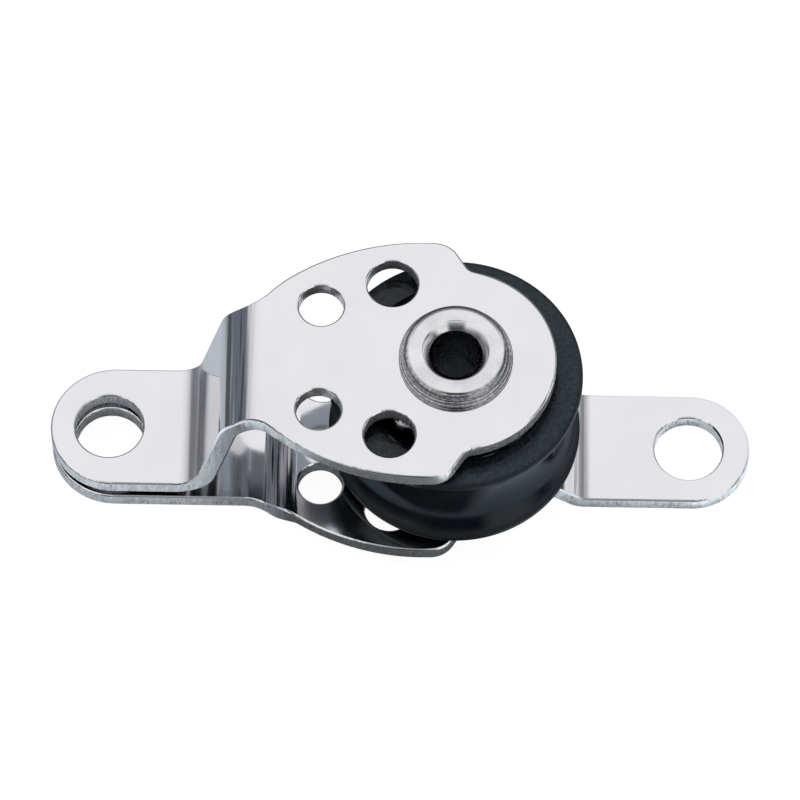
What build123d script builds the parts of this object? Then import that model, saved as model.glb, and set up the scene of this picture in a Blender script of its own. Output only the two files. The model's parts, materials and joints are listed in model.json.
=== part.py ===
from build123d import *
from math import cos, pi, sqrt
import os

# Cheek block for a deck: two stainless cheeks, each with a bolting eye, hold a ball-bearing sheave
# on a hollow swaged hub. All sizes are in millimetres. The origin is midway between the two eyes
# on the deck plane, +X points to the eye that only the base plate has, and +Z points up.

# Deck fixing
EYE_SPACING = 51.0
EYE_HOLE_D = 6.0
LEFT_LUG_WIDTH = 11.3
LEFT_LUG_END = 5.15
RIGHT_LUG_WIDTH = 10.4
RIGHT_LUG_END = 5.4

# Sheet and levels
PLATE_T = 1.6
BASE_LIFT = 2.0
LUG_GAP = 0.95
EDGE_BREAK = 0.15

# Sheave
HUB_X = 4.8
SHEAVE_R = 11.0
SHEAVE_H = 10.8
SIDE_CLEARANCE = 1.0
RIM_BAND = 0.8
RIM_ROUND = 0.38
RIM_STEP = 0.1
GROOVE_DEPTH = 2.2
FACE_LIP_R = 8.5

# Cheek outline in plan
NOSE_SETBACK = 2.35
FLANK_OVERHANG = 0.35
FLANK_R = 20.5
FLANK_BACK = 2.8
STEP_FORWARD = 0.3
STEP_HALF_WIDTH = 9.8
STEP_SLOPE = 1.58
STEP_OUTER_ROUND = 2.4
STEP_INNER_ROUND = 1.2
LEFT_LUG_ROUND = 3.5
RIGHT_LUG_ROUND = 1.5

# Lightening holes, as diameter, distance behind the hub and distance to each side of it
SMALL_HOLE_D = 3.9
SMALL_HOLE_BACK = 11.65
SMALL_HOLE_SIDE = 5.0
LARGE_HOLE_D = 4.4
LARGE_HOLE_BACK = 5.55
LARGE_HOLE_SIDE = 7.25

# Bends of the top plate, along the middle of the sheet
ROPE_ROOM = 5.29
RAMP_RUN = 3.11
RAMP_DROP = 2.89
WEB_RUN = 2.7
CREST_BEND_R = 5.2
KNEE_BEND_R = 2.7
FOOT_BEND_R = 3.2

# Joggles of the base plate, along the middle of the sheet
JOGGLE_RUN = 2.2
JOGGLE_BEND_R = 1.25
LEFT_JOGGLE_ROOM = 2.99
RIGHT_JOGGLE_ROOM = 0.29

# Ball bearing
BALL_D = 2.38
BALLS_PER_ROW = 15
BALL_CIRCLE_R = 5.95
BALL_INSET = 1.6
FIRST_BALL_ANGLE = 6.0
RACE_CLEARANCE = 0.06
SHEAVE_WEB_BORE_R = 6.2
RACE_COLLAR_R = 5.6
RACE_FLANGE_R = 6.1
RACE_BORE_CLEARANCE = 0.05

# Hollow hub, swaged under the base plate
HUB_OD = 6.4
HUB_BORE_D = 4.5
PLATE_BORE_CLEARANCE = 0.05
HEAD_R = 4.9
HEAD_H = 1.65
HEAD_RING_R = 4.1
HEAD_SHOULDER = 0.48
UPPER_BAND_H = 0.3
MIDDLE_BAND_H = 0.4
COUNTERSINK_R = 2.88
COUNTERSINK_DEPTH = 0.85
TAIL_R = 4.3
TAIL_H = 1.45
TAIL_ROUND = 1.2
TAIL_FLARE = 0.35

# Worked out from the sizes above
EYE_X = EYE_SPACING / 2
BASE_TOP = BASE_LIFT + PLATE_T
CHEEK_GAP = SHEAVE_H + 2 * SIDE_CLEARANCE
MID_Z = BASE_TOP + CHEEK_GAP / 2
TOP_UNDER = BASE_TOP + CHEEK_GAP
TOP_FACE = TOP_UNDER + PLATE_T
TOP_LUG_UNDER = PLATE_T + LUG_GAP
ROW_Z = SHEAVE_H / 2 - BALL_INSET
TRACK_R = BALL_D / 2 + RACE_CLEARANCE
NOSE_R = SHEAVE_R - NOSE_SETBACK
FLANK_X = HUB_X - FLANK_BACK
FLANK_HALF_WIDTH = SHEAVE_R + FLANK_OVERHANG
BIG = 4 * (EYE_SPACING + SHEAVE_R + SHEAVE_H)
SAME_SPOT = 0.001


def strip(from_x, to_x, width):
    """A flat stretch of lug in plan."""
    return Pos((from_x + to_x) / 2, 0) * Rectangle(abs(to_x - from_x), width)


def round_end(tip_x, inward, width):
    """The full-radius end of a lug: inward is +1 where the lug runs towards +X from its tip."""
    return Pos(tip_x + inward * width / 2, 0) * Circle(width / 2)


def rounded_corners(outline, ranks_and_radii):
    """Rounds mirrored pairs of corners of a plan outline, each pair found by its rank along X."""
    for rank, radius in ranks_and_radii:
        left = sorted((v for v in outline.vertices() if v.Y > SAME_SPOT), key=lambda v: v.X)
        right = sorted((v for v in outline.vertices() if v.Y < -SAME_SPOT), key=lambda v: v.X)
        outline = fillet([left[rank], right[rank]], radius)
    return outline


def cheek_outline(with_right_lug):
    """Plan of a cheek: two long flanks, a step down to the round nose, and the lugs."""
    flank_y = FLANK_R - FLANK_HALF_WIDTH
    lens = Pos(FLANK_X, -flank_y) * Circle(FLANK_R)
    lens &= Pos(FLANK_X, flank_y) * Circle(FLANK_R)
    step_x = HUB_X + STEP_FORWARD
    apex_x = step_x + STEP_HALF_WIDTH / STEP_SLOPE
    behind_step = make_face(Polyline(
        (-BIG, BIG), (apex_x - BIG / STEP_SLOPE, BIG), (apex_x, 0),
        (apex_x - BIG / STEP_SLOPE, -BIG), (-BIG, -BIG), close=True))
    left_tip = -EYE_X - LEFT_LUG_END
    right_tip = EYE_X + RIGHT_LUG_END
    left_inner = left_tip + LEFT_LUG_WIDTH / 2
    outline = lens & behind_step
    outline += Pos(HUB_X, 0) * Circle(NOSE_R)
    outline += strip(left_inner, HUB_X, LEFT_LUG_WIDTH)
    # Upper corners along X: lug end, lug to flank, flank to step, step to nose, nose to right lug
    roundings = [(1, LEFT_LUG_ROUND), (3, STEP_OUTER_ROUND), (5, STEP_INNER_ROUND)]
    if with_right_lug:
        right_inner = right_tip - RIGHT_LUG_WIDTH / 2
        outline += strip(HUB_X, right_inner, RIGHT_LUG_WIDTH)
        roundings.append((7, RIGHT_LUG_ROUND))
    outline = rounded_corners(outline, roundings)
    outline += round_end(left_tip, 1, LEFT_LUG_WIDTH)
    if with_right_lug:
        outline += round_end(right_tip, -1, RIGHT_LUG_WIDTH)
    return outline


def bent_sheet(corners, radii):
    """Sheet of the plate's thickness along a path of (x, z) corners, wider than any outline."""
    section = trace(FilletPolyline(*corners, radius=radii), PLATE_T)
    return extrude(Plane.XZ * section, BIG, both=True)


def cheek_holes(eyes):
    """The holes through a cheek: its eyes, the hub's hole and the four lightening holes."""
    holes = [Pos(x, 0) * Circle(EYE_HOLE_D / 2) for x in eyes]
    holes.append(Pos(HUB_X, 0) * Circle(HUB_OD / 2 + PLATE_BORE_CLEARANCE))
    for side in (-1, 1):
        holes.append(Pos(HUB_X - SMALL_HOLE_BACK, side * SMALL_HOLE_SIDE) * Circle(SMALL_HOLE_D / 2))
        holes.append(Pos(HUB_X - LARGE_HOLE_BACK, side * LARGE_HOLE_SIDE) * Circle(LARGE_HOLE_D / 2))
    return holes


def sheet_edges(plate):
    """The edges between a plate's cut walls and its two skins."""
    walls = [face for face in plate.faces() if abs(face.normal_at().Z) < SAME_SPOT]
    edges = [edge for wall in walls for edge in wall.edges()]
    return [edge for edge in edges if abs(edge.tangent_at(0.5).Z) < 1 - SAME_SPOT]


def make_cheek(corners, radii, eyes, with_right_lug):
    """One cheek plate, cut from its plan outline, bent to its path and broken at its edges."""
    outline = cheek_outline(with_right_lug)
    for hole in cheek_holes(eyes):
        outline -= hole
    plate = bent_sheet(corners, radii) & extrude(outline, BIG, both=True)
    return chamfer(sheet_edges(plate), EDGE_BREAK)


def make_top_plate():
    """Upper cheek: a lug over the left eye, a steep web, a ramp and the raised disc."""
    lug_z = TOP_LUG_UNDER + PLATE_T / 2
    disc_z = TOP_UNDER + PLATE_T / 2
    crest_x = HUB_X - SHEAVE_R - ROPE_ROOM
    knee_x = crest_x - RAMP_RUN
    foot_x = knee_x - WEB_RUN
    corners = [
        (-BIG, lug_z),
        (foot_x, lug_z),
        (knee_x, disc_z - RAMP_DROP),
        (crest_x, disc_z),
        (BIG, disc_z),
    ]
    radii = [FOOT_BEND_R, KNEE_BEND_R, CREST_BEND_R]
    return make_cheek(corners, radii, [-EYE_X], False)


def make_base_plate():
    """Lower cheek: both lugs on the deck, and the disc lifted between two joggles."""
    lug_z = PLATE_T / 2
    disc_z = BASE_LIFT + PLATE_T / 2
    left_crest = HUB_X - SHEAVE_R - LEFT_JOGGLE_ROOM
    right_crest = HUB_X + NOSE_R + RIGHT_JOGGLE_ROOM
    corners = [
        (-BIG, lug_z),
        (left_crest - JOGGLE_RUN, lug_z),
        (left_crest, disc_z),
        (right_crest, disc_z),
        (right_crest + JOGGLE_RUN, lug_z),
        (BIG, lug_z),
    ]
    return make_cheek(corners, [JOGGLE_BEND_R] * 4, [-EYE_X, EYE_X], True)


def turned(outline):
    """A piece turned about the hub axis from a closed outline drawn in radius and height."""
    return Pos(HUB_X, 0) * revolve(Plane.XZ * make_face(outline.edges()), Axis.Z)


def make_hub():
    """Hollow hub: stepped head with a countersink, tube, and tail swaged under the base plate."""
    bore = HUB_BORE_D / 2
    tube = HUB_OD / 2
    head_top = TOP_FACE + HEAD_H
    shoulder_z = head_top - HEAD_SHOULDER
    upper_band_r = HEAD_RING_R + HEAD_SHOULDER
    middle_band_r = (upper_band_r + HEAD_R) / 2
    ledge = (HEAD_R - middle_band_r) / 2
    upper_band_z = shoulder_z - UPPER_BAND_H
    middle_band_z = upper_band_z - MIDDLE_BAND_H
    tail_z = BASE_LIFT - TAIL_H
    outline = Polyline(
        (HEAD_RING_R, head_top),
        (COUNTERSINK_R, head_top),
        (bore, head_top - COUNTERSINK_DEPTH),
        (bore, tail_z + TAIL_FLARE),
        (bore + TAIL_FLARE, tail_z),
        (TAIL_R - TAIL_ROUND, tail_z),
    )
    outline += RadiusArc((TAIL_R - TAIL_ROUND, tail_z), (TAIL_R, tail_z + TAIL_ROUND), -TAIL_ROUND)
    outline += Polyline(
        (TAIL_R, tail_z + TAIL_ROUND),
        (TAIL_R, BASE_LIFT),
        (tube, BASE_LIFT),
        (tube, TOP_FACE),
        (HEAD_R, TOP_FACE),
        (HEAD_R, middle_band_z - ledge),
        (middle_band_r + ledge, middle_band_z),
        (middle_band_r, middle_band_z),
        (middle_band_r, upper_band_z - ledge),
        (upper_band_r + ledge, upper_band_z),
        (upper_band_r, upper_band_z),
        (upper_band_r, shoulder_z),
    )
    outline += RadiusArc((upper_band_r, shoulder_z), (HEAD_RING_R, head_top), -HEAD_SHOULDER)
    return turned(outline)


def make_upper_race():
    """Upper half of the inner race, from the collar between the rows to the flange."""
    bore = HUB_OD / 2 + RACE_BORE_CLEARANCE
    ball_z = MID_Z + ROW_Z
    collar_drop = sqrt(TRACK_R ** 2 - (BALL_CIRCLE_R - RACE_COLLAR_R) ** 2)
    collar_end = (RACE_COLLAR_R, ball_z - collar_drop)
    track_floor = (BALL_CIRCLE_R - TRACK_R, ball_z)
    track_end = (BALL_CIRCLE_R, ball_z + TRACK_R)
    outline = Polyline(
        track_end,
        (RACE_FLANGE_R, ball_z + TRACK_R),
        (RACE_FLANGE_R, TOP_UNDER),
        (bore, TOP_UNDER),
        (bore, MID_Z),
        (RACE_COLLAR_R, MID_Z),
        collar_end,
    )
    outline += ThreePointArc(collar_end, track_floor, track_end)
    return turned(outline)


def make_sheave():
    """Sheave: shallow rope groove, thin rims, flat faces, and a cone and ball track at each side."""
    half = SHEAVE_H / 2
    groove_end = half - RIM_BAND
    track_drop = sqrt(TRACK_R ** 2 - (SHEAVE_WEB_BORE_R - BALL_CIRCLE_R) ** 2)
    track_start = (SHEAVE_WEB_BORE_R, ROW_Z - track_drop)
    track_middle = (BALL_CIRCLE_R + TRACK_R * cos(pi / 4), ROW_Z - TRACK_R * cos(pi / 4))
    track_end = (BALL_CIRCLE_R + TRACK_R, ROW_Z)
    face_end = (SHEAVE_R - RIM_ROUND, half)
    rim_start = (SHEAVE_R, half - RIM_ROUND)
    upper = Line((SHEAVE_WEB_BORE_R, 0), track_start)
    upper += ThreePointArc(track_start, track_middle, track_end)
    upper += Polyline(track_end, (FACE_LIP_R, half), face_end)
    upper += RadiusArc(face_end, rim_start, RIM_ROUND)
    upper += Polyline(rim_start, (SHEAVE_R, groove_end), (SHEAVE_R - RIM_STEP, groove_end))
    groove = ThreePointArc(
        (SHEAVE_R - RIM_STEP, groove_end),
        (SHEAVE_R - GROOVE_DEPTH, 0),
        (SHEAVE_R - RIM_STEP, -groove_end),
    )
    outline = upper + mirror(upper, Plane.XZ) + groove
    return Pos(0, 0, MID_Z) * turned(outline)


def make_ball(angle, side):
    """One ball at its place on the ball circle: side is +1 in the upper row and -1 in the lower."""
    place = Rot(0, 0, angle) * Pos(BALL_CIRCLE_R, 0, side * ROW_Z)
    return Pos(HUB_X, 0, MID_Z) * place * Sphere(BALL_D / 2)


def turned_over(piece):
    """The same piece turned over about the middle of the sheave."""
    return mirror(piece, Plane.XY.offset(MID_Z))


def make_pieces():
    """Every piece of the block by name."""
    upper_race = make_upper_race()
    pieces = {
        "base_plate": make_base_plate(),
        "top_plate": make_top_plate(),
        "hub_rivet": make_hub(),
        "upper_race": upper_race,
        "lower_race": turned_over(upper_race),
        "sheave": make_sheave(),
    }
    pitch = 360 / BALLS_PER_ROW
    for number in range(BALLS_PER_ROW):
        angle = FIRST_BALL_ANGLE + number * pitch
        pieces[f"ball_upper_{number + 1:02d}"] = make_ball(angle, 1)
        pieces[f"ball_lower_{number + 1:02d}"] = make_ball(angle + pitch / 2, -1)
    return pieces


os.makedirs("parts", exist_ok=True)
for name, piece in make_pieces().items():
    export_step(piece, f"parts/{name}.step")
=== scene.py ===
import json
from math import atan2, cos, degrees, pi, radians, sin, sqrt

import bpy
from mathutils import Matrix, Vector

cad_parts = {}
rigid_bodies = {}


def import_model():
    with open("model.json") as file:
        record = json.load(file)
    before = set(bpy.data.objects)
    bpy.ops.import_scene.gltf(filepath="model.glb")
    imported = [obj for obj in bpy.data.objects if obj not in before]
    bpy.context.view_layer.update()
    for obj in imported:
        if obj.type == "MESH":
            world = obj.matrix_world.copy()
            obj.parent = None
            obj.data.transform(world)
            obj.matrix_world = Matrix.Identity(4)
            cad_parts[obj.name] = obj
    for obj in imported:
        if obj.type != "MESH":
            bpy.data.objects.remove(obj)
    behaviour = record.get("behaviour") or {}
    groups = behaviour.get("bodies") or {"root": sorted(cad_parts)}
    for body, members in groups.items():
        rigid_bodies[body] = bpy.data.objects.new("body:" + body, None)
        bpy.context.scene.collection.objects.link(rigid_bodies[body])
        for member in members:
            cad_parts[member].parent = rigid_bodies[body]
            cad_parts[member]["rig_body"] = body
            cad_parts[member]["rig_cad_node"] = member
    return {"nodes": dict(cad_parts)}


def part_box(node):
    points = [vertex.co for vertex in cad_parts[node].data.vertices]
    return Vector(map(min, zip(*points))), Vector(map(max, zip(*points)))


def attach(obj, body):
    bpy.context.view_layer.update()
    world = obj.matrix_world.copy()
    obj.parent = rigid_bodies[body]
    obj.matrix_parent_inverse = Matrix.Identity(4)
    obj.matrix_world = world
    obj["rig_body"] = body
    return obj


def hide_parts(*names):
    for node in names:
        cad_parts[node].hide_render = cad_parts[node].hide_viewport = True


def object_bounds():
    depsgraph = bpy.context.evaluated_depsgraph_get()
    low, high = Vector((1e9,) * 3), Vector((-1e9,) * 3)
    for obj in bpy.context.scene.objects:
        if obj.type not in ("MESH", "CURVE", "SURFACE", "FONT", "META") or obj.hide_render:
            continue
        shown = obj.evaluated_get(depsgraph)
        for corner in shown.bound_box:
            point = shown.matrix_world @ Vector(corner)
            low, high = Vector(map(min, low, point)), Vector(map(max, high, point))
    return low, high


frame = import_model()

bl_info = {
    "name": "Cheek block finish",
    "version": (1, 0, 0),
    "blender": (4, 5, 0),
    "location": "View3D > Sidebar > Cheek block",
    "description": "Dresses a packed deck cheek block: polished plates, turned hub, "
                   "moulded sheave and balls",
    "category": "Object",
}

# Sizes here are metres, written as millimetres times MM
MM = 0.001
CAD_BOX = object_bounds()
SHEAVE_LOW, SHEAVE_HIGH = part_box("sheave")
HUB_LOW, HUB_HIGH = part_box("hub_rivet")
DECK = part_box("base_plate")[0].z
CHEEK_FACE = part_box("top_plate")[1].z
HUB_X = (SHEAVE_LOW.x + SHEAVE_HIGH.x) / 2
MID_Z = (SHEAVE_LOW.z + SHEAVE_HIGH.z) / 2
SHEAVE_R = (SHEAVE_HIGH.x - SHEAVE_LOW.x) / 2
SHEAVE_HALF = (SHEAVE_HIGH.z - SHEAVE_LOW.z) / 2
BALLS = sorted(name for name in frame["nodes"] if name.startswith("ball_"))
PLATES = ("base_plate", "top_plate")
WHITE = (1.0, 1.0, 1.0)


def length(name, description, default):
    """A size in metres for the panel."""
    return bpy.props.FloatProperty(
        name=name, description=description, default=default, min=0.0, unit="LENGTH", precision=5)


def along(name, description, default):
    """A place along the block, to either side of its middle, for the panel."""
    return bpy.props.FloatProperty(
        name=name, description=description, default=default, unit="LENGTH", precision=5)


def angle(name, description, default):
    """An angle for the panel, given in degrees."""
    return bpy.props.FloatProperty(
        name=name, description=description, default=radians(default), subtype="ANGLE")


def colour(name, description, default):
    """A colour for the panel."""
    return bpy.props.FloatVectorProperty(
        name=name, description=description, default=default, size=3, min=0.0, max=1.0, subtype="COLOR")


def share(name, description, default):
    """A share from none to all for the panel."""
    return bpy.props.FloatProperty(
        name=name, description=description, default=default, min=0.0, max=1.0, subtype="FACTOR")


class CheekPlateLook(bpy.types.PropertyGroup):
    """Finish of the two stainless cheeks."""
    steel: colour("Steel", "Colour that the polished sheet reflects", (0.595, 0.595, 0.615))
    cut: colour("Cut edge", "Colour of the tumbled cut edges", (0.70, 0.70, 0.70))
    edge_round: length("Edge round", "Rounding of both corners of each broken edge", 0.06 * MM)
    corner_angle: angle("Corner angle", "Corners sharper than this are rounded", 32)
    smooth_angle: angle("Smooth angle", "Edges flatter than this are shaded smooth", 50)
    polish: share("Polish roughness", "Roughness of the polished skins", 0.07)
    # The bend strips are painted shade, darker and rougher than the polished skin
    strip_roughness: share("Strip roughness", "Roughness that a satin strip adds", 0.30)
    painted_strip_shade: share("Strip shade", "Shade of a satin strip beside the polished steel", 0.60)
    edge_roughness: share("Edge roughness", "Roughness of the cut edges", 0.27)
    # Painted shade strip along the inside of the foot bend
    foot_shade_start: along("Foot strip start", "Where the press left the inside of the foot bend satin",
                      -19.3 * MM)
    foot_shade_middle: along("Foot strip middle", "Where the satin strip is dullest", -17.9 * MM)
    foot_shade_end: along("Foot strip end", "Where the satin strip ends on the web", -17.2 * MM)
    # Painted shade strip along the foot of the right joggle
    joggle_shade_start: along("Joggle strip start", "Where the press left the foot of the right joggle satin",
                        15.6 * MM)
    joggle_shade_middle: along("Joggle strip middle", "Where that strip is dullest", 16.15 * MM)
    joggle_shade_end: along("Joggle strip end", "Where that strip ends on the lug", 16.9 * MM)


class CheekHubLook(bpy.types.PropertyGroup):
    """Shape and finish of the hollow hub."""
    head_radius: length("Head radius", "Radius of the head where it lies on the cheek",
                        (HUB_HIGH.x - HUB_LOW.x) / 2)
    bore_radius: length("Bore radius", "Radius of the hole through the hub", 2.25 * MM)
    tube_radius: length("Tube radius", "Outer radius between the cheeks", 3.2 * MM)
    ring_radius: length("Ring radius", "Outer radius of the flat ring on the head", 3.85 * MM)
    sink_radius: length("Countersink radius", "Radius of the countersink at the ring", 2.88 * MM)
    sink_depth: length("Countersink depth", "Depth of the countersink", 0.70 * MM)
    shoulder: length("Shoulder", "Radius of the rounded shoulder", 0.73 * MM)
    upper_band: length("Upper band", "Height of the band under the shoulder", 0.12 * MM)
    middle_band: length("Middle band", "Height of the band between the two ledges", 0.3 * MM)
    cheek_under: length("Cheek underside", "Height of the base plate's underside above the deck", 2.0 * MM)
    tail_radius: length("Tail radius", "Radius of the swaged tail", 4.3 * MM)
    tail_round: length("Tail round", "Radius of the tail's outer corner", 1.2 * MM)
    tail_flare: length("Tail flare", "Chamfer at the lower end of the hole", 0.35 * MM)
    corner_round: length("Corner round", "Rounding of the turned corners", 0.06 * MM)
    corner_angle: angle("Corner angle", "Corners sharper than this are rounded", 28)
    smooth_angle: angle("Smooth angle", "Edges flatter than this are shaded smooth", 32)
    turns: bpy.props.IntProperty(name="Turns", description="Flats round the hub", default=144, min=24)
    steel: colour("Steel", "Colour that the turned steel reflects", (0.59, 0.59, 0.605))
    # Side shade is painted shade on the upright side and ledges of the head
    side_shade: share("Stain", "Shade of the stained side beside the turned steel", 0.32)


class CheekSheaveLook(bpy.types.PropertyGroup):
    """Shape and finish of the sheave."""
    groove_depth: length("Groove depth", "How far the rope groove goes in from the rim", 2.2 * MM)
    rim_band: length("Rim band", "Height of the straight band at each rim", 0.8 * MM)
    rim_round: length("Rim round", "Radius of the rim's outer corner", 0.38 * MM)
    rim_step: length("Rim step", "How far the groove starts inside the rim", 0.1 * MM)
    lip_radius: length("Lip radius", "Where the cone of the face meets the flat face", 8.5 * MM)
    web_radius: length("Web radius", "Radius of the bore between the two rows of balls", 6.2 * MM)
    corner_round: length("Corner round", "Rounding of the moulded corners", 0.05 * MM)
    corner_angle: angle("Corner angle", "Corners sharper than this are rounded", 25)
    smooth_angle: angle("Smooth angle", "Edges flatter than this are shaded smooth", 30)
    turns: bpy.props.IntProperty(name="Turns", description="Flats round the sheave", default=192, min=24)
    black: colour("Black", "Colour of the moulded plastic", (0.0030, 0.0042, 0.0060))
    # Painted highlight: specks of this colour on the up-facing faces stand in for glints
    glint_colour: colour("Dust", "Colour of the dusty specks on the flat faces", (0.0100, 0.0132, 0.0156))
    gloss_roughness: share("Roughness", "Roughness of the moulded skin", 0.13)
    scuff_roughness: share("Scuff roughness", "Roughness that the scuffed rim adds", 0.40)


class CheekBearingLook(bpy.types.PropertyGroup):
    """Shape and finish of the races and balls."""
    track: length("Track radius", "Radius of a ball track, seen in section", 1.25 * MM)
    circle: length("Ball circle", "Radius of the circle on which the balls lie", 5.95 * MM)
    inset: length("Row inset", "How far a row lies inside the face of the sheave", 1.6 * MM)
    collar: length("Collar radius", "Radius of the race between the two rows", 5.6 * MM)
    flange: length("Flange radius", "Radius of the race's flange", 6.1 * MM)
    bore: length("Race bore", "Radius of the hole in the races", 3.25 * MM)
    proud: length("Race proud", "How far the race stands proud of the sheave", 1.0 * MM)
    corner_round: length("Corner round", "Rounding of the ground corners", 0.04 * MM)
    corner_angle: angle("Corner angle", "Corners sharper than this are rounded", 35)
    smooth_angle: angle("Smooth angle", "Edges flatter than this are shaded smooth", 32)
    turns: bpy.props.IntProperty(name="Turns", description="Flats round a race", default=96, min=24)
    race_steel: colour("Race steel", "Colour that the races reflect", (0.46, 0.46, 0.47))
    ball_steel: colour("Ball steel", "Colour that the balls reflect", (0.40, 0.405, 0.42))


class CheekStageLook(bpy.types.PropertyGroup):
    """Camera, floor and light."""
    floor_size: length("Floor size", "Side of the square floor", 3.0)
    floor_gap: length("Floor gap", "How far the floor lies under the block", 0.02 * MM)
    floor_colour: colour("Floor", "Colour of the floor that the steel reflects", (0.37, 0.405, 0.44))
    floor_shadow: share("Floor shadow", "How much of the block's shadow the camera sees", 0.15)
    horizon_colour: colour("Horizon", "Shade of the studio at eye level, seen in the steel",
                           (0.15, 0.165, 0.19))
    sky: bpy.props.FloatProperty(name="Sky", description="Brightness of the white overhead",
                                 default=1.34, min=0.0)
    fill: bpy.props.FloatProperty(name="Fill", description="Brightness of the light from all round",
                                  default=0.55, min=0.0)
    camera_side: angle("Camera side", "Half angle of the dark patch round the camera", 16)
    lens_mm: bpy.props.FloatProperty(name="Lens", description="Focal length in millimetres",
                                     default=258.99, min=1.0)
    target: bpy.props.FloatVectorProperty(name="Target", description="Point that the camera looks at",
                                          default=(0.02 * MM, 1.04 * MM, 8.03 * MM), size=3,
                                          unit="LENGTH", precision=5)
    camera_distance: length("Camera distance", "From the camera to the point it looks at", 502.5 * MM)
    azimuth: angle("Azimuth", "Camera's turn about the block", 0.753)
    elevation: angle("Elevation", "Camera's height angle", 63.018)
    roll: angle("Roll", "Camera's roll", 0.278)


def require(found, message):
    """Stops with a plain message when something is missing."""
    if not found:
        raise RuntimeError(message)


def deselect_all():
    """Leaves nothing selected, so that the next operator acts on its own piece alone."""
    bpy.ops.object.select_all(action="DESELECT")


def select_only(piece):
    """Makes one piece the selected and active one."""
    deselect_all()
    piece.select_set(True)
    bpy.context.view_layer.objects.active = piece


def rename(piece, name):
    """Gives a piece and its data one name."""
    piece.name = name
    piece.data.name = name


def settle(piece):
    """Moves a piece's place into its mesh, so that its object sits at the origin."""
    select_only(piece)
    bpy.ops.object.transform_apply(location=True, rotation=True, scale=True)


def apply_modifier(piece, modifier):
    """Makes a modifier's result the piece's own mesh."""
    select_only(piece)
    bpy.ops.object.modifier_apply(modifier=modifier.name)


def round_corners(piece, width, sharper_than, segments=2):
    """Rounds the corners of a piece that are sharper than an angle."""
    modifier = piece.modifiers.new("corners", "BEVEL")
    modifier.width = width
    modifier.segments = segments
    modifier.limit_method = "ANGLE"
    modifier.angle_limit = sharper_than
    modifier.harden_normals = False
    apply_modifier(piece, modifier)


def smooth(piece, flatter_than):
    """Shades a piece smooth but for edges sharper than an angle."""
    select_only(piece)
    bpy.ops.object.shade_smooth_by_angle(angle=flatter_than)


def install(piece, materials, body, node):
    """Gives a piece its materials and slot, stands it in for its node and sets it on its body."""
    require(piece.data.polygons, f"{piece.name} has no faces")
    piece.data.materials.clear()
    for material in materials:
        piece.data.materials.append(material)
    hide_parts(node)
    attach(piece, body)


def arc(centre, radius, start, end, steps):
    """Points of (radius, height) on an arc between two angles in degrees, both ends included."""
    angles = [radians(start + (end - start) * step / steps) for step in range(steps + 1)]
    return [(centre[0] + radius * cos(turn), centre[1] + radius * sin(turn)) for turn in angles]


def turned_piece(name, profile, look):
    """Turns a closed profile about the hub axis: one ring is extruded from point to point."""
    deselect_all()
    radius, height = profile[0]
    bpy.ops.mesh.primitive_circle_add(
        vertices=look.turns, radius=radius, fill_type="NOTHING", location=(HUB_X, 0, height))
    piece = bpy.context.object
    rename(piece, name)
    settle(piece)
    bpy.ops.object.mode_set(mode="EDIT")
    bpy.ops.mesh.select_mode(type="EDGE")
    bpy.ops.mesh.select_all(action="SELECT")
    for next_radius, next_height in profile[1:] + profile[:1]:
        bpy.ops.mesh.extrude_edges_move(
            TRANSFORM_OT_translate={"value": (0, 0, next_height - height)})
        grow = next_radius / radius
        bpy.ops.transform.resize(value=(grow, grow, 1), center_override=(HUB_X, 0, next_height))
        radius, height = next_radius, next_height
    bpy.ops.mesh.select_all(action="SELECT")
    bpy.ops.mesh.remove_doubles(threshold=0.001 * MM)
    bpy.ops.mesh.normals_make_consistent(inside=False)
    bpy.ops.object.mode_set(mode="OBJECT")
    round_corners(piece, look.corner_round, look.corner_angle)
    smooth(piece, look.smooth_angle)
    return piece


def new_group(name, inputs, outputs):
    """An empty shader group with float or vector sockets."""
    group = bpy.data.node_groups.new(name, "ShaderNodeTree")
    for socket, kind, default in inputs:
        made = group.interface.new_socket(socket, in_out="INPUT", socket_type=kind)
        if default is not None:
            made.default_value = default
    for socket in outputs:
        group.interface.new_socket(socket, in_out="OUTPUT", socket_type="NodeSocketFloat")
    entry = group.nodes.new("NodeGroupInput")
    leave = group.nodes.new("NodeGroupOutput")
    return group, entry, leave


def add(tree, kind, values=None, **settings):
    """A new node with its settings, and its inputs set or linked by name or number."""
    made = tree.nodes.new(kind)
    for setting, value in settings.items():
        setattr(made, setting, value)
    for key, value in (values or {}).items():
        if isinstance(value, bpy.types.NodeSocket):
            tree.links.new(value, made.inputs[key])
        else:
            made.inputs[key].default_value = value
    return made


def use_group(tree, name, values):
    """A group placed in a material with its own values."""
    return add(tree, "ShaderNodeGroup", values, node_tree=bpy.data.node_groups[name])


def maths(tree, operation, first, second=0.0, clamp=False):
    """The output of one Math node."""
    return add(tree, "ShaderNodeMath", {0: first, 1: second}, operation=operation,
               use_clamp=clamp).outputs[0]


def scaled(tree, value, factor, plus=0.0):
    """A value times a factor, plus another value."""
    return add(tree, "ShaderNodeMath", {0: value, 1: factor, 2: plus}, operation="MULTIPLY_ADD").outputs[0]


def product(tree, first, *others):
    """Masks multiplied together."""
    for other in others:
        first = maths(tree, "MULTIPLY", first, other)
    return first


def spread(tree, value, low, high, to_low=0.0, to_high=1.0):
    """A value stretched from one range to another and held inside it."""
    return add(tree, "ShaderNodeMapRange",
               {"Value": value, "From Min": low, "From Max": high, "To Min": to_low, "To Max": to_high},
               clamp=True).outputs["Result"]


def vector_maths(tree, operation, values):
    """One Vector Math node."""
    return add(tree, "ShaderNodeVectorMath", values, operation=operation)


def noise(tree, place, scale, detail, roughness=0.5, distortion=0.0):
    """The value of one noise texture."""
    return add(tree, "ShaderNodeTexNoise",
               {"Vector": place, "Scale": scale, "Detail": detail, "Roughness": roughness,
                "Distortion": distortion}).outputs["Fac"]


def split(tree, vector):
    """The three parts of a vector."""
    return add(tree, "ShaderNodeSeparateXYZ", {0: vector}).outputs


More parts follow.
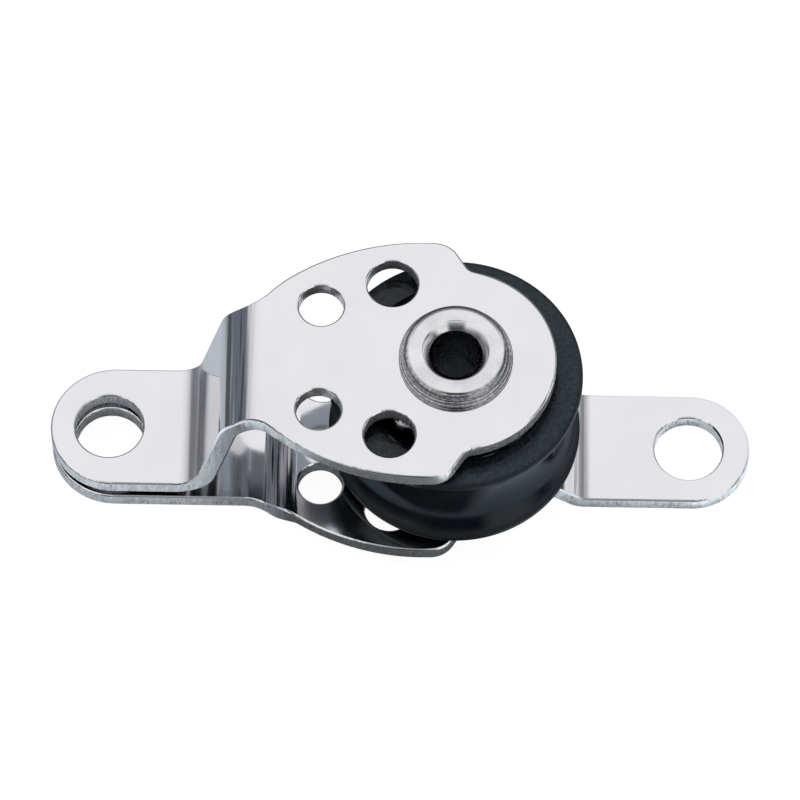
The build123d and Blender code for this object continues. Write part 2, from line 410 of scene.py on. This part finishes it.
def from_axis(tree, place):
    """Distance of each point from the hub axis."""
    centred = vector_maths(tree, "SUBTRACT", {0: place, 1: (HUB_X, 0, 0)}).outputs[0]
    flat = vector_maths(tree, "MULTIPLY", {0: centred, 1: (1.0, 1.0, 0.0)}).outputs[0]
    return vector_maths(tree, "LENGTH", {0: flat}).outputs["Value"]


def facing_up(tree):
    """One where the surface faces straight up, and nought where it is upright."""
    return split(tree, tree.nodes.new("ShaderNodeNewGeometry").outputs["Normal"])[2]


def mixed(tree, amount, first, second):
    """Two colours mixed by an amount."""
    return add(tree, "ShaderNodeMix", {"Factor": amount, "A": first, "B": second},
               data_type="RGBA").outputs["Result"]


def scratch_group():
    """Fine straight polishing lines at one angle, as a mask of thin bright lines."""
    group, entry, leave = new_group(
        "polishing lines",
        [("Vector", "NodeSocketVector", None), ("Angle", "NodeSocketFloat", 0.0),
         ("Scale", "NodeSocketFloat", 900.0), ("Sparseness", "NodeSocketFloat", 0.62)],
        ["Lines"])
    turned = add(group, "ShaderNodeVectorRotate",
                 {"Vector": entry.outputs["Vector"], "Angle": entry.outputs["Angle"]},
                 rotation_type="Z_AXIS")
    drawn = vector_maths(group, "MULTIPLY", {0: turned.outputs[0], 1: (0.03, 1.0, 1.0)}).outputs[0]
    streaks = noise(group, drawn, entry.outputs["Scale"], 3.0, roughness=0.6)
    above = maths(group, "SUBTRACT", streaks, entry.outputs["Sparseness"])
    lines = maths(group, "MULTIPLY", above, 6.0, clamp=True)
    group.links.new(lines, leave.inputs["Lines"])


def turning_group():
    """Rings left by a lathe tool about the hub axis, as a height."""
    group, entry, leave = new_group(
        "turning rings",
        [("Vector", "NodeSocketVector", None), ("Rings", "NodeSocketFloat", 9000.0)],
        ["Height"])
    place = entry.outputs["Vector"]
    path = maths(group, "ADD", from_axis(group, place), split(group, place)[2])
    rings = add(group, "ShaderNodeTexNoise", {"W": path, "Scale": entry.outputs["Rings"], "Detail": 2.0},
                noise_dimensions="1D")
    group.links.new(rings.outputs["Fac"], leave.inputs["Height"])


def handling_group():
    """Soft smears of handling, as a mask."""
    group, entry, leave = new_group(
        "handling marks",
        [("Vector", "NodeSocketVector", None), ("Scale", "NodeSocketFloat", 160.0)],
        ["Smears"])
    broad = noise(group, entry.outputs["Vector"], entry.outputs["Scale"], 4.0, distortion=0.6)
    group.links.new(spread(group, broad, 0.38, 0.68), leave.inputs["Smears"])


def start_material(name, metallic=0.0):
    """A new material with its Principled shader and object coordinates."""
    material = bpy.data.materials.new(name)
    material.use_nodes = True
    tree = material.node_tree
    shader = tree.nodes["Principled BSDF"]
    shader.inputs["Metallic"].default_value = metallic
    place = tree.nodes.new("ShaderNodeTexCoord").outputs["Object"]
    return material, tree, shader, place


def smears_of_handling(tree, place, scale):
    """The mask of soft smears at one scale."""
    return use_group(tree, "handling marks", {"Vector": place, "Scale": scale}).outputs["Smears"]


def turning_rings(tree, place, rings):
    """The height of lathe rings at one fineness."""
    return use_group(tree, "turning rings", {"Vector": place, "Rings": rings}).outputs["Height"]


def raise_surface(tree, shader, height, distance, strength):
    """Feeds a height to the shader's normal."""
    bump = add(tree, "ShaderNodeBump", {"Height": height, "Distance": distance, "Strength": strength})
    tree.links.new(bump.outputs["Normal"], shader.inputs["Normal"])


def tint(tree, shader, low, high, amount):
    """Mixes two colours by an amount into the shader's base colour."""
    tree.links.new(mixed(tree, amount, (*low, 1.0), (*high, 1.0)), shader.inputs["Base Color"])


def roughen(tree, shader, value):
    """Feeds a value to the shader's roughness."""
    tree.links.new(value, shader.inputs["Roughness"])


def shaded(steel, factor):
    """A colour made darker by a factor."""
    return tuple(factor * part for part in steel)


def bend_strip(tree, across, start, middle, end):
    """One at the middle of a strip across the sheet, fading to nought at both its sides."""
    return product(tree, spread(tree, across, start, middle), spread(tree, across, end, middle))


def polished_sheet():
    """Polished stainless sheet: faint waves, crossed polishing lines, smears, and darker, rougher strips of
    painted shade at bends.
    """
    look = bpy.context.scene.cheek_plates
    material, tree, shader, place = start_material("polished_sheet", 1.0)
    first = use_group(tree, "polishing lines", {"Vector": place, "Angle": 0.12, "Scale": 1500.0})
    second = use_group(tree, "polishing lines", {"Vector": place, "Angle": 1.35, "Scale": 1100.0,
                                                 "Sparseness": 0.68})
    lines = maths(tree, "ADD", first.outputs[0], second.outputs[0], clamp=True)
    smears = smears_of_handling(tree, place, 140.0)

    across, _, above_deck = split(tree, place)
    # Painted shade: a darker, rougher strip inside the foot bend and at the foot of the right joggle;
    # handling smears darken the steel a little
    foot = product(tree, bend_strip(tree, across, look.foot_shade_start, look.foot_shade_middle, look.foot_shade_end),
                   spread(tree, above_deck, 3 * MM, 4 * MM))
    joggle = product(tree, bend_strip(tree, across, look.joggle_shade_start, look.joggle_shade_middle, look.joggle_shade_end),
                     spread(tree, above_deck, 3 * MM, 2 * MM, 0.0, 1.3))
    strip = maths(tree, "MAXIMUM", foot, joggle)
    rough = scaled(tree, lines, 0.05, look.polish)
    rough = scaled(tree, smears, 0.045, rough)
    roughen(tree, shader, scaled(tree, strip, look.strip_roughness, rough))
    smears_and_painted_shade = maths(tree, "MAXIMUM", scaled(tree, smears, 0.08), strip)
    tint(tree, shader, look.steel, shaded(look.steel, look.painted_strip_shade), smears_and_painted_shade)

    # Press marks run across the sheet, and show only where a bend tilts it
    waves = noise(tree, place, 95.0, 1.0)
    drawn = vector_maths(tree, "MULTIPLY", {0: place, 1: (1.0, 0.035, 0.0)}).outputs[0]
    press_marks = noise(tree, drawn, 900.0, 2.0)
    tilt = facing_up(tree)
    bent = product(tree, spread(tree, tilt, 0.97, 0.80), spread(tree, tilt, 0.30, 0.60))
    height = scaled(tree, waves, 0.02, scaled(tree, lines, -0.0008))
    height = scaled(tree, press_marks, scaled(tree, bent, 0.32), height)
    raise_surface(tree, shader, height, 1.0 * MM, 0.35)
    return material


def cut_edge():
    """Tumbled cut edge of the sheet: duller, with fine grain across the thickness."""
    look = bpy.context.scene.cheek_plates
    material, tree, shader, place = start_material("cut_edge", 0.86)
    drawn = vector_maths(tree, "MULTIPLY", {0: place, 1: (1.0, 1.0, 0.25)}).outputs[0]
    grain = noise(tree, drawn, 3200.0, 3.0, roughness=0.7)
    patches = spread(tree, smears_of_handling(tree, place, 420.0), 0.0, 1.0, 0.25, 1.0)
    speckle = product(tree, spread(tree, grain, 0.42, 0.66), patches)
    tint(tree, shader, look.cut, shaded(look.cut, 0.34), speckle)
    roughen(tree, shader, spread(tree, grain, 0.3, 0.7, look.edge_roughness - 0.08,
                                 look.edge_roughness + 0.14))
    raise_surface(tree, shader, grain, 0.02 * MM, 0.6)
    return material


def turned_steel():
    """Turned hub steel with fine lathe rings, and speckled painted shade on its upright side and ledges."""
    look = bpy.context.scene.cheek_hub
    material, tree, shader, place = start_material("turned_steel", 1.0)
    rings = turning_rings(tree, place, 7000.0)
    smears = smears_of_handling(tree, place, 380.0)
    grain = noise(tree, place, 3400.0, 2.0)
    reach = from_axis(tree, place)
    # Painted shade: the upright side of the head and its ledges are darkened in specks
    side = product(tree, spread(tree, facing_up(tree), 0.99, 0.88),
                   spread(tree, reach, look.sink_radius, look.ring_radius))
    shoulder_end = look.ring_radius + look.shoulder
    ledges = spread(tree, reach, shoulder_end - 0.08 * MM, shoulder_end + 0.02 * MM, 0.0, 0.85)
    specks = spread(tree, grain, 0.40, 0.60, 0.62, 1.0)
    darkened = product(tree, maths(tree, "MAXIMUM", side, ledges), specks)
    tint(tree, shader, look.steel, shaded(look.steel, look.side_shade),
         maths(tree, "MAXIMUM", scaled(tree, smears, 0.28), darkened))
    roughen(tree, shader, scaled(tree, side, 0.09, spread(tree, rings, 0.3, 0.7, 0.08, 0.17)))
    height = scaled(tree, grain, scaled(tree, side, 0.8), scaled(tree, rings, 0.45))
    raise_surface(tree, shader, height, 0.02 * MM, 0.6)
    return material


def ground_steel():
    """Ground bearing steel of the races."""
    look = bpy.context.scene.cheek_bearing
    material, tree, shader, place = start_material("ground_steel", 1.0)
    rings = turning_rings(tree, place, 16000.0)
    smears = smears_of_handling(tree, place, 500.0)
    tint(tree, shader, look.race_steel, shaded(look.race_steel, 0.7), smears)
    roughen(tree, shader, spread(tree, rings, 0.3, 0.7, 0.16, 0.26))
    raise_surface(tree, shader, rings, 0.008 * MM, 0.5)
    return material


def ball_steel():
    """Bearing balls, dulled by a film of oil."""
    look = bpy.context.scene.cheek_bearing
    material, tree, shader, place = start_material("ball_steel", 1.0)
    smears = smears_of_handling(tree, place, 900.0)
    tint(tree, shader, look.ball_steel, shaded(look.ball_steel, 0.85), smears)
    roughen(tree, shader, spread(tree, smears, 0.0, 1.0, 0.21, 0.28))
    return material


def moulded_black():
    """Black moulded plastic: satin skin with orange peel, painted glinting specks on the flat faces and a
    scuffed rim.
    """
    look = bpy.context.scene.cheek_sheave
    material, tree, shader, place = start_material("moulded_black")
    shader.inputs["IOR"].default_value = 1.32
    shader.inputs["Specular Tint"].default_value = (0.78, 0.91, 1.0, 1.0)
    rings = turning_rings(tree, place, 2600.0)
    smears = smears_of_handling(tree, place, 260.0)
    peel = noise(tree, place, 3600.0, 3.0)
    # Painted highlight: lighter specks on the up-facing faces; handling smears lighten the black a little
    glinting = product(tree, spread(tree, peel, 0.38, 0.66), spread(tree, facing_up(tree), 0.80, 0.95))
    tint(tree, shader, look.black, look.glint_colour, maths(tree, "MAXIMUM", scaled(tree, smears, 0.3), glinting))
    skin = spread(tree, smears, 0.0, 1.0, look.gloss_roughness - 0.04, look.gloss_roughness + 0.07)
    scuffed = spread(tree, from_axis(tree, place), SHEAVE_R - 0.5 * MM, SHEAVE_R - 0.3 * MM)
    roughen(tree, shader, scaled(tree, scuffed, look.scuff_roughness, skin))
    raise_surface(tree, shader, scaled(tree, rings, 0.5, scaled(tree, peel, 0.5)), 0.012 * MM, 0.5)
    return material


def floor_paper():
    """Pale floor: the camera sees it white with a trace of shadow, and steel sees it with painted light and
    painted shadow.
    """
    look = bpy.context.scene.cheek_stage
    material = bpy.data.materials.new("floor_paper")
    material.use_nodes = True
    tree = material.node_tree
    tree.nodes.clear()
    across, away, _ = split(tree, tree.nodes.new("ShaderNodeTexCoord").outputs["Object"])

    # Painted light: the paper is twice as pale to the right of the web and in front of the block
    to_right = spread(tree, across, 2 * MM, 14 * MM)
    in_front = spread(tree, away, 0.0, -7 * MM)
    painted_light_colour = tuple(min(1.0, 2.0 * part) for part in look.floor_colour)
    paper_with_painted_light = mixed(tree, maths(tree, "MAXIMUM", to_right, in_front),
                         (*look.floor_colour, 1.0), (*painted_light_colour, 1.0))

    # Gloss alone sees painted shadow from under the block forward, and painted shade on the floor behind it
    painted_shadow = product(tree, spread(tree, across, -18 * MM, -14 * MM), spread(tree, across, 13 * MM, 8 * MM),
                   spread(tree, away, -60 * MM, -45 * MM), spread(tree, away, -5 * MM, -8 * MM))
    painted_shadow = scaled(tree, painted_shadow, 0.93)
    behind = spread(tree, away, 17 * MM, 34 * MM, 0.0, 0.8)
    path = tree.nodes.new("ShaderNodeLightPath")
    painted_shade_for_gloss = product(tree, maths(tree, "MAXIMUM", painted_shadow, behind), path.outputs["Is Glossy Ray"])
    paper_with_painted_shade = vector_maths(tree, "SCALE", {0: paper_with_painted_light, "Scale": maths(tree, "SUBTRACT", 1.0, painted_shade_for_gloss)})

    paper = add(tree, "ShaderNodeBsdfDiffuse", {"Color": paper_with_painted_shade.outputs[0]})
    glow = add(tree, "ShaderNodeEmission", {"Color": (*WHITE, 1.0), "Strength": 1.12})
    direct = scaled(tree, path.outputs["Is Camera Ray"], 1.0 - look.floor_shadow)
    mix = add(tree, "ShaderNodeMixShader", {0: direct, 1: paper.outputs[0], 2: glow.outputs[0]})
    add(tree, "ShaderNodeOutputMaterial", {"Surface": mix.outputs[0]})
    return material


def merged_copy(name, node):
    """A copy of a plate's own mesh, joined up and clear of needless edges."""
    require(node in frame["nodes"], f"The frame has no {node}")
    select_only(frame["nodes"][node])
    bpy.ops.object.duplicate()
    piece = bpy.context.object
    piece.parent = None
    piece.matrix_world = Matrix.Identity(4)
    rename(piece, name)
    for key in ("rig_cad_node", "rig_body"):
        if key in piece:
            del piece[key]
    same_point = 0.0005 * MM
    same_plane = radians(0.4)
    bpy.ops.object.mode_set(mode="EDIT")
    bpy.ops.mesh.select_all(action="SELECT")
    bpy.ops.mesh.remove_doubles(threshold=same_point)
    bpy.ops.mesh.dissolve_limited(angle_limit=same_plane)
    bpy.ops.object.mode_set(mode="OBJECT")
    return piece


def mark_cut_faces(piece):
    """Gives the second material to the faces cut square through the sheet."""
    upright = 0.02
    for face in piece.data.polygons:
        face.material_index = 1 if abs(face.normal.z) < upright else 0


class CHEEK_OT_plates(bpy.types.Operator):
    """Make the two polished cheek plates"""
    bl_idname = "cheek.plates"
    bl_label = "Cheek plates"

    def execute(self, context):
        look = context.scene.cheek_plates
        materials = [polished_sheet(), cut_edge()]
        for node in PLATES:
            piece = merged_copy(f"{node}_polished", node)
            round_corners(piece, look.edge_round, look.corner_angle)
            smooth(piece, look.smooth_angle)
            modifier = piece.modifiers.new("flat skins", "WEIGHTED_NORMAL")
            modifier.keep_sharp = True
            apply_modifier(piece, modifier)
            install(piece, materials, "frame", node)
            mark_cut_faces(piece)
        return {"FINISHED"}


def hub_profile(look):
    """Closed profile of the hub: countersink, ring, shoulder, two ledges, tube, tail and bore."""
    top = HUB_HIGH.z
    low = HUB_LOW.z
    under = DECK + look.cheek_under
    shoulder_z = top - look.shoulder
    upper = look.ring_radius + look.shoulder
    middle = (upper + look.head_radius) / 2
    ledge = (look.head_radius - middle) / 2
    upper_z = shoulder_z - look.upper_band
    middle_z = upper_z - look.middle_band
    profile = [(look.sink_radius, top)]
    profile += arc((look.ring_radius, shoulder_z), look.shoulder, 90, 0, 8)
    profile += [
        (upper, upper_z),
        (upper + ledge, upper_z),
        (middle, upper_z - ledge),
        (middle, middle_z),
        (middle + ledge, middle_z),
        (look.head_radius, middle_z - ledge),
        (look.head_radius, CHEEK_FACE),
        (look.tube_radius, CHEEK_FACE),
        (look.tube_radius, under),
        (look.tail_radius, under),
    ]
    profile += arc((look.tail_radius - look.tail_round, low + look.tail_round), look.tail_round, 0, -90, 10)
    profile += [
        (look.bore_radius + look.tail_flare, low),
        (look.bore_radius, low + look.tail_flare),
        (look.bore_radius, top - look.sink_depth),
    ]
    return profile


class CHEEK_OT_hub(bpy.types.Operator):
    """Turn the hollow hub with its stepped head"""
    bl_idname = "cheek.hub"
    bl_label = "Hub"

    def execute(self, context):
        look = context.scene.cheek_hub
        piece = turned_piece("hub_turned", hub_profile(look), look)
        install(piece, [turned_steel()], "frame", "hub_rivet")
        return {"FINISHED"}


def sheave_profile(look, bearing):
    """Closed profile of the sheave: web bore, ball tracks, cones, faces, rims and rope groove."""
    rim_z = SHEAVE_HALF - look.rim_band
    root = SHEAVE_R - look.groove_depth
    rise = SHEAVE_R - look.rim_step - root
    groove = (rim_z ** 2 + rise ** 2) / (2 * rise)
    half_angle = pi - atan2(rim_z, groove - rise)
    web = look.web_radius - bearing.circle
    track_start = degrees(atan2(web, sqrt(bearing.track ** 2 - web ** 2))) - 90
    corner = SHEAVE_R - look.rim_round
    upper = [(look.web_radius, 0.0)]
    upper += arc((bearing.circle, SHEAVE_HALF - bearing.inset), bearing.track, track_start, 0, 12)
    upper += [(look.lip_radius, SHEAVE_HALF)]
    upper += arc((corner, SHEAVE_HALF - look.rim_round), look.rim_round, 90, 0, 6)
    upper += [(SHEAVE_R, rim_z)]
    upper += arc((root + groove, 0.0), groove, degrees(half_angle), 180, 24)[:-1]
    lower = [(radius, -height) for radius, height in reversed(upper[1:])]
    return [(radius, MID_Z + height) for radius, height in upper + [(root, 0.0)] + lower]


class CHEEK_OT_sheave(bpy.types.Operator):
    """Turn the moulded sheave with its rope groove"""
    bl_idname = "cheek.sheave"
    bl_label = "Sheave"

    def execute(self, context):
        look = context.scene.cheek_sheave
        piece = turned_piece("sheave_moulded", sheave_profile(look, context.scene.cheek_bearing), look)
        install(piece, [moulded_black()], "sheave", "sheave")
        return {"FINISHED"}


def race_profile(look, side):
    """Closed profile of one half of the inner race: side is +1 above the middle and -1 below."""
    ball_z = SHEAVE_HALF - look.inset
    height = SHEAVE_HALF + look.proud
    inward = look.circle - look.collar
    start = 180 + degrees(atan2(sqrt(look.track ** 2 - inward ** 2), inward))
    points = [(look.bore, 0.0), (look.collar, 0.0)]
    points += arc((look.circle, ball_z), look.track, start, 90, 18)
    points += [(look.flange, ball_z + look.track), (look.flange, height), (look.bore, height)]
    return [(radius, MID_Z + side * z) for radius, z in points]


class CHEEK_OT_races(bpy.types.Operator):
    """Turn the two halves of the inner race"""
    bl_idname = "cheek.races"
    bl_label = "Races"

    def execute(self, context):
        look = context.scene.cheek_bearing
        steel = ground_steel()
        for node, side in (("upper_race", 1), ("lower_race", -1)):
            piece = turned_piece(f"{node}_ground", race_profile(look, side), look)
            install(piece, [steel], "frame", node)
        return {"FINISHED"}


class CHEEK_OT_balls(bpy.types.Operator):
    """Make one bearing ball and copy it to each place in both rows"""
    bl_idname = "cheek.balls"
    bl_label = "Balls"

    def execute(self, context):
        require(BALLS, "The frame has no balls")
        steel = ball_steel()
        low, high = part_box(BALLS[0])
        radius = (high.z - low.z) / 2
        deselect_all()
        bpy.ops.mesh.primitive_cube_add(size=2 * radius)
        pattern = context.object
        bpy.ops.object.mode_set(mode="EDIT")
        bpy.ops.mesh.select_all(action="SELECT")
        bpy.ops.mesh.subdivide(number_cuts=7)
        bpy.ops.mesh.faces_shade_smooth()
        bpy.ops.object.mode_set(mode="OBJECT")
        modifier = pattern.modifiers.new("round", "CAST")
        modifier.cast_type = "SPHERE"
        modifier.factor = 1.0
        modifier.use_radius_as_size = False
        modifier.size = radius
        apply_modifier(pattern, modifier)
        for node in BALLS:
            low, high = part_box(node)
            select_only(pattern)
            bpy.ops.object.duplicate()
            piece = context.object
            rename(piece, f"{node}_polished")
            piece.location = (low + high) / 2
            settle(piece)
            body = "upper_row" if "upper" in node else "lower_row"
            install(piece, [steel], body, node)
        select_only(pattern)
        bpy.ops.object.delete()
        return {"FINISHED"}


def shade_by_height(tree, height, *stops):
    """Colour of the studio at each height of view: stops are (height, colour)."""
    low, high = stops[0][0], stops[-1][0]
    ramp = add(tree, "ShaderNodeValToRGB", {0: spread(tree, height, low, high)})
    band = ramp.color_ramp
    for number, (at, shade) in enumerate(stops):
        position = (at - low) / (high - low)
        stop = band.elements[number] if number < 2 else band.elements.new(position)
        stop.position = position
        stop.color = (*shade, 1.0)
    return ramp.outputs["Color"]


def seen_rays(tree, path):
    """One for rays that come from the camera or off gloss or through glass, else nought."""
    shiny = maths(tree, "MAXIMUM", path.outputs["Is Camera Ray"], path.outputs["Is Glossy Ray"])
    return maths(tree, "MAXIMUM", shiny, path.outputs["Is Transmission Ray"])


def studio_world(look, back):
    """White studio that steel sees with darker sides, a window and a figure at the photograph's camera."""
    world = bpy.data.worlds.new("studio")
    bpy.context.scene.world = world
    world.use_nodes = True
    tree = world.node_tree
    tree.nodes.clear()
    direction = tree.nodes.new("ShaderNodeTexCoord").outputs["Generated"]
    sideways, away, height = split(tree, direction)
    level = maths(tree, "SQRT", maths(tree, "SUBTRACT", 1.0, maths(tree, "MULTIPLY", height, height)))
    level = maths(tree, "MAXIMUM", level, 0.001)
    rightward = maths(tree, "DIVIDE", sideways, level)
    backward = maths(tree, "DIVIDE", away, level)

    # Each sector goes from its shade low down to white overhead
    dark = tuple(look.horizon_colour)
    grey = (0.30, 0.31, 0.33)
    dim = (0.05, 0.055, 0.065)
    silver = (0.46, 0.48, 0.51)
    floor_haze = (0.35, 0.37, 0.40)
    low_white = (0.84, 0.84, 0.85)
    high_white = (0.93, 0.93, 0.94)
    window_white = (0.88, 0.88, 0.88)
    around = shade_by_height(tree, height, (-0.20, floor_haze), (-0.05, dark), (0.09, dark), (0.20, silver),
                             (0.33, low_white), (0.55, WHITE))
    right = shade_by_height(tree, height, (0.14, window_white), (0.36, dim), (0.56, dim), (0.80, WHITE))
    behind = shade_by_height(tree, height, (0.10, dark), (0.32, dark), (0.46, grey), (0.66, grey),
                             (0.80, high_white), (0.85, WHITE))
    front = shade_by_height(tree, height, (-0.15, dim), (0.10, dim), (0.26, grey), (0.40, WHITE))
    figure = shade_by_height(tree, height, (-0.15, dim), (0.10, dim), (0.28, dim), (0.45, grey),
                             (0.60, WHITE))
    window = product(tree, spread(tree, rightward, 0.24, 0.38), spread(tree, rightward, 0.93, 0.82),
                     spread(tree, backward, 0.0, -0.30), spread(tree, height, -0.10, 0.02))
    studio = around
    for shade, weight in ((right, spread(tree, rightward, 0.70, 0.86)),
                          (behind, spread(tree, backward, 0.78, 0.94)),
                          (front, spread(tree, backward, -0.05, -0.35)),
                          ((*WHITE, 1.0), window),
                          (figure, spread(tree, backward, -0.87, -0.95))):
        studio = mixed(tree, weight, studio, shade)

    # A round dark patch stands where the photograph's camera is
    facing = vector_maths(tree, "DOT_PRODUCT", {0: direction, 1: tuple(back)}).outputs["Value"]
    patch_rim = cos(1.2 * look.camera_side)
    patch_core = cos(0.85 * look.camera_side)
    patch_shade = 0.03
    patch = spread(tree, facing, patch_rim, patch_core, 1.0, patch_shade)
    steel_sees = vector_maths(tree, "SCALE", {0: studio, "Scale": patch}).outputs[0]

    path = tree.nodes.new("ShaderNodeLightPath")
    from_camera = path.outputs["Is Camera Ray"]
    shown = mixed(tree, from_camera, steel_sees, (*WHITE, 1.0))
    seen = add(tree, "ShaderNodeBackground", {
        "Color": shown, "Strength": spread(tree, from_camera, 0.0, 1.0, look.sky, 1.0)})
    fill = add(tree, "ShaderNodeBackground", {"Color": (*WHITE, 1.0), "Strength": look.fill})
    mix = add(tree, "ShaderNodeMixShader",
              {0: seen_rays(tree, path), 1: fill.outputs[0], 2: seen.outputs[0]})
    add(tree, "ShaderNodeOutputWorld", {"Surface": mix.outputs[0]})


def soft_light(name, place, size, power):
    """One large soft lamp aimed at the block, kept out of mirror reflections."""
    aim = Vector((0, 0, 10 * MM))
    bpy.ops.object.light_add(type="AREA", location=place)
    lamp = bpy.context.object
    rename(lamp, name)
    lamp.data.shape = "SQUARE"
    lamp.data.size = size
    lamp.data.energy = power
    lamp.rotation_euler = (aim - Vector(place)).to_track_quat("-Z", "Y").to_euler()
    lamp.visible_glossy = False


def lay_floor(look):
    """The square floor under the block."""
    deselect_all()
    bpy.ops.mesh.primitive_grid_add(x_subdivisions=8, y_subdivisions=8, size=look.floor_size,
                                    location=(0, 0, CAD_BOX[0].z - look.floor_gap))
    floor = bpy.context.object
    floor.name = "floor"
    settle(floor)
    floor.data.materials.append(floor_paper())


def camera_axes(look):
    """The photograph's camera: its right, its up and its back, as unit vectors."""
    azimuth, elevation, roll = look.azimuth, look.elevation, look.roll
    back = Vector((sin(azimuth) * cos(elevation), -cos(azimuth) * cos(elevation), sin(elevation)))
    right = Vector((cos(azimuth), sin(azimuth), 0))
    up = back.cross(right)
    return cos(roll) * right + sin(roll) * up, -sin(roll) * right + cos(roll) * up, back


class CHEEK_OT_stage(bpy.types.Operator):
    """Set up the floor, the studio light and the camera"""
    bl_idname = "cheek.stage"
    bl_label = "Stage"

    def execute(self, context):
        look = context.scene.cheek_stage
        lay_floor(look)
        soft_light("overhead", place=(-0.12, 0.10, 0.55), size=0.45, power=2.2)
        soft_light("key", place=(0.30, 0.22, 0.42), size=0.12, power=2.6)
        right, up, back = camera_axes(look)
        studio_world(look, back)
        bpy.ops.object.camera_add()
        camera = context.object
        rename(camera, "camera")
        camera.data.sensor_width = 36.0
        camera.data.lens = look.lens_mm
        axes = Matrix((right, up, back)).transposed().to_4x4()
        camera.matrix_world = Matrix.Translation(Vector(look.target) + back * look.camera_distance) @ axes
        context.scene.camera = camera
        context.scene.view_settings.view_transform = "Standard"
        return {"FINISHED"}


class CHEEK_PT_panel(bpy.types.Panel):
    """Lists the steps that dress the cheek block"""
    bl_label = "Cheek block"
    bl_idname = "CHEEK_PT_panel"
    bl_space_type = "VIEW_3D"
    bl_region_type = "UI"
    bl_category = "Cheek block"

    def draw(self, context):
        for step in STEPS:
            self.layout.operator(step.bl_idname)
        for holder in HOLDERS:
            box = self.layout.box()
            group = getattr(context.scene, holder)
            for name in group.__annotations__:
                box.prop(group, name)


HOLDERS = {
    "cheek_plates": CheekPlateLook,
    "cheek_hub": CheekHubLook,
    "cheek_sheave": CheekSheaveLook,
    "cheek_bearing": CheekBearingLook,
    "cheek_stage": CheekStageLook,
}
STEPS = (CHEEK_OT_stage, CHEEK_OT_plates, CHEEK_OT_hub, CHEEK_OT_sheave, CHEEK_OT_races, CHEEK_OT_balls)


def register():
    for holder, group in HOLDERS.items():
        bpy.utils.register_class(group)
        setattr(bpy.types.Scene, holder, bpy.props.PointerProperty(type=group))
    for step in STEPS:
        bpy.utils.register_class(step)
    bpy.utils.register_class(CHEEK_PT_panel)


def unregister():
    bpy.utils.unregister_class(CHEEK_PT_panel)
    for step in reversed(STEPS):
        bpy.utils.unregister_class(step)
    for holder, group in reversed(HOLDERS.items()):
        delattr(bpy.types.Scene, holder)
        bpy.utils.unregister_class(group)


def main():
    register()
    scratch_group()
    turning_group()
    handling_group()
    bpy.ops.cheek.stage()
    bpy.ops.cheek.plates()
    bpy.ops.cheek.hub()
    bpy.ops.cheek.sheave()
    bpy.ops.cheek.races()
    bpy.ops.cheek.balls()


if __name__ == "__main__":
    main()
